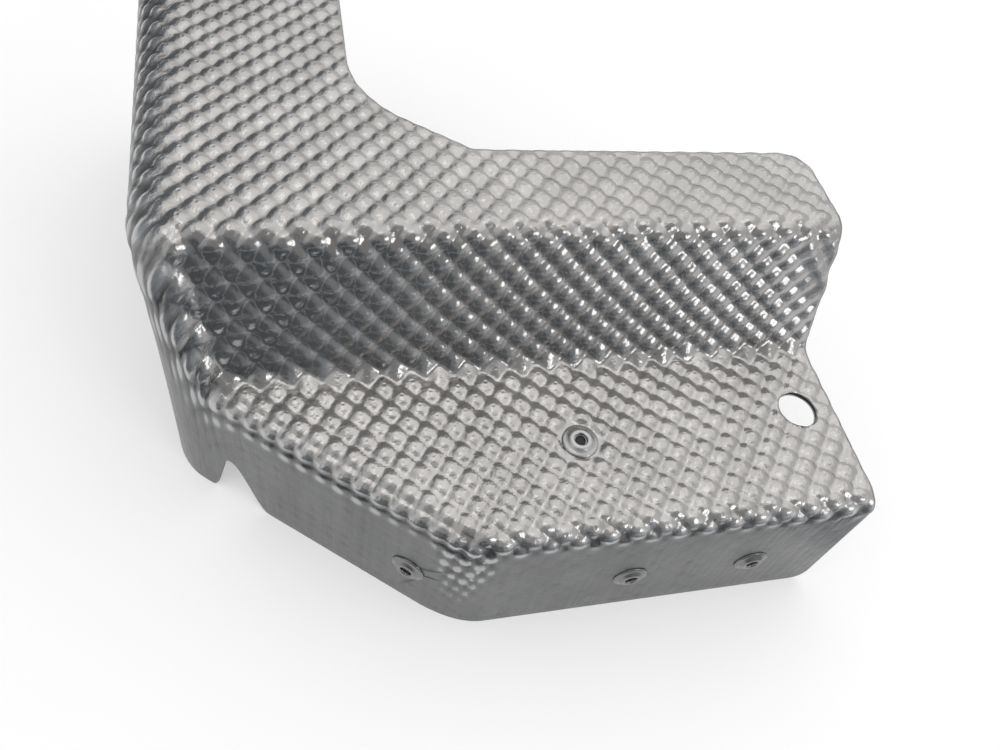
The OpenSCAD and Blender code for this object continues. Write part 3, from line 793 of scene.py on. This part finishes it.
# Floor, world, lamps and camera
def show_through(tree, shader, colour, share=1.0):
    """A share of plain colour to camera, glossy and transmission rays, the given shader to the rest."""
    light = tree.nodes.new("ShaderNodeLightPath")
    one = tree.nodes.new("ShaderNodeMath")
    two = tree.nodes.new("ShaderNodeMath")
    one.operation = two.operation = "MAXIMUM"
    tree.links.new(light.outputs["Is Camera Ray"], one.inputs[0])
    tree.links.new(light.outputs["Is Glossy Ray"], one.inputs[1])
    tree.links.new(one.outputs[0], two.inputs[0])
    tree.links.new(light.outputs["Is Transmission Ray"], two.inputs[1])
    plain = tree.nodes.new("ShaderNodeBackground" if shader.type == "BACKGROUND" else "ShaderNodeEmission")
    plain.inputs[0].default_value = colour
    part = tree.nodes.new("ShaderNodeMath")
    part.operation = "MULTIPLY"
    part.inputs[1].default_value = share
    tree.links.new(two.outputs[0], part.inputs[0])
    mix = tree.nodes.new("ShaderNodeMixShader")
    tree.links.new(part.outputs[0], mix.inputs[0])
    tree.links.new(shader.outputs[0], mix.inputs[1])
    tree.links.new(plain.outputs[0], mix.inputs[2])
    return mix


WORLD_STRENGTH = 1.02
FLOOR_SIZE = 24
FLOOR_SHARE = 0.28


def make_world():
    world = bpy.data.worlds.new("studio")
    bpy.context.scene.world = world
    world.use_nodes = True
    tree = world.node_tree
    tree.nodes.clear()
    out = tree.nodes.new("ShaderNodeOutputWorld")
    soft = tree.nodes.new("ShaderNodeBackground")
    soft.inputs[0].default_value = (1.0, 1.0, 1.0, 1.0)
    soft.inputs[1].default_value = WORLD_STRENGTH
    tree.links.new(show_through(tree, soft, (1.0, 1.0, 1.0, 1.0)).outputs[0], out.inputs[0])


def make_floor():
    bpy.ops.mesh.primitive_plane_add(size=FLOOR_SIZE, location=(0, 0, -0.0002))
    floor = bpy.context.object
    floor.name = "floor"
    m = Nodes("pale_floor")
    grain = m.noise(m.add("ShaderNodeTexCoord").outputs["Object"], 40.0)
    shader = m.add("ShaderNodeBsdfDiffuse", {"Color": m.colours(grain, grey(0.95), grey(0.97))})
    m.link(show_through(m.tree, shader, (1.0, 1.0, 1.0, 1.0), FLOOR_SHARE), m.out.inputs["Surface"])
    floor.data.materials.append(m.mat)


# Lamps: name, place, aim, side of the square and watts
LAMPS = [("key", (0.0, 0.0, 1.2), (0, 0, 0.04), 0.35, 0.3),
         ("side", (0.9, 0.75, 0.85), (0, 0, 0.04), 0.35, 0.2),
         ("window", (0.68, -0.92, 0.63), (0, 0, 0.06), 0.42, 1.7)]


def lamp(name, at, aim, size, watts):
    data = bpy.data.lights.new(name, "AREA")
    data.shape, data.size, data.size_y = "RECTANGLE", size, size
    data.energy = watts
    obj = bpy.data.objects.new(name, data)
    obj.location = at
    obj.rotation_euler = (Vector(aim) - Vector(at)).to_track_quat("-Z", "Y").to_euler()
    bpy.context.scene.collection.objects.link(obj)


def stage_mesh(name, verts, faces, mat):
    """A piece of the studio that only mirror and transmission rays see."""
    me = bpy.data.meshes.new(name)
    me.from_pydata(verts, [], faces)
    me.materials.append(mat)
    obj = bpy.data.objects.new(name, me)
    bpy.context.scene.collection.objects.link(obj)
    obj.visible_camera = obj.visible_diffuse = obj.visible_shadow = False


def heading(az, el):
    a, e = math.radians(az), math.radians(el)
    return (math.cos(e) * math.cos(a), math.cos(e) * math.sin(a), math.sin(e))


def ring(radii, levels, angles, step):
    """Points and quads of an upright or flat ring: one row of points for each radius and level."""
    count = int(round((angles[1] - angles[0]) / step))
    verts = [(r * math.cos(math.radians(angles[0] + k * step)), r * math.sin(math.radians(angles[0] + k * step)), z)
             for r, z in zip(radii, levels) for k in range(count + 1)]
    faces = [(j * (count + 1) + k, j * (count + 1) + k + 1, (j + 1) * (count + 1) + k + 1, (j + 1) * (count + 1) + k)
             for j in range(len(radii) - 1) for k in range(count)]
    return verts, faces


# Sides of the tent, fitted to the photo: heading (azimuth, elevation), inner and outer half angle, tone
TENT_SIDES = [((45, 68), 12, 48, 1.30), ((-95, 15), 22, 54, 0.38), ((-85, 50), 12, 36, 0.42),
              ((-112, 4), 14, 30, 0.17), ((150, 20), 16, 38, 0.30), ((121, 14), 12, 32, 0.20)]
TENT_R = 2.5
TENT_TONE = 0.80
CARD_R = (0.158, 1.2)
CARD_Z = (0.0006, 0.0012)
CARD_TURN = (-140, -45)


def make_tent():
    """A soft tent round the object with lighter and darker sides."""
    m = Nodes("tent_cloth")
    place = m.add("ShaderNodeTexCoord").outputs["Object"]
    way = m.add("ShaderNodeVectorMath", {0: place}, operation="NORMALIZE").outputs[0]
    colour = grey(TENT_TONE)
    for at, inner, outer, tone in TENT_SIDES:
        dot = m.add("ShaderNodeVectorMath", {0: way, 1: heading(*at)}, operation="DOT_PRODUCT").outputs["Value"]
        share = m.span(dot, math.cos(math.radians(outer)), math.cos(math.radians(inner)))
        colour = m.colours(share, colour, grey(tone, -0.08 if tone < 0.4 else 0.01))
    m.link(m.add("ShaderNodeEmission", {"Color": colour}), m.out.inputs["Surface"])
    rise = np.radians(np.linspace(0, 88, 12))
    stage_mesh("tent", *ring(TENT_R * np.cos(rise), TENT_R * np.sin(rise), (0, 360), 15), m.mat)


def make_card():
    """A card on the floor in front of the object, darker at its left, that the riser shows."""
    m = Nodes("card_paint")
    across = m.add("ShaderNodeSeparateXYZ", {0: m.add("ShaderNodeTexCoord").outputs["Object"]}).outputs["X"]
    colour = m.colours(m.span(across, -0.05, 0.35), grey(0.16, -0.10), grey(0.8, -0.04))
    m.link(m.add("ShaderNodeEmission", {"Color": colour}), m.out.inputs["Surface"])
    stage_mesh("front_card", *ring(CARD_R, CARD_Z, CARD_TURN, 5), m.mat)


# Camera solved from the photograph: place in helper millimetres, the three rows of its rotation and focal length
CAMERA_AT = np.array([38.74, -109.98, 161.56])
CAMERA_RIGHT = Vector((0.9691, -0.1831, 0.1652))
CAMERA_DOWN = Vector((-0.0592, -0.8231, -0.5648))
CAMERA_AHEAD = Vector((0.2393, 0.5376, -0.8085))
FOCAL_PX, IMAGE_W = 760.0, 1000.0


def make_camera():
    data = bpy.data.cameras.new("camera")
    data.sensor_width = 36.0
    data.sensor_fit = "HORIZONTAL"
    data.lens = FOCAL_PX / IMAGE_W * data.sensor_width
    data.clip_start, data.clip_end = 0.01, 20.0
    cam = bpy.data.objects.new("camera", data)
    turn = Matrix([CAMERA_RIGHT, -CAMERA_DOWN, -CAMERA_AHEAD]).transposed()
    cam.matrix_world = Matrix.Translation(Vector((CAMERA_AT + SHIFT) / 1000)) @ turn.to_4x4()
    bpy.context.scene.collection.objects.link(cam)
    bpy.context.scene.camera = cam


bpy.context.scene.view_settings.view_transform = "Standard"
make_world()
make_floor()
make_camera()
for lamp_values in LAMPS:
    lamp(*lamp_values)
make_tent()
make_card()
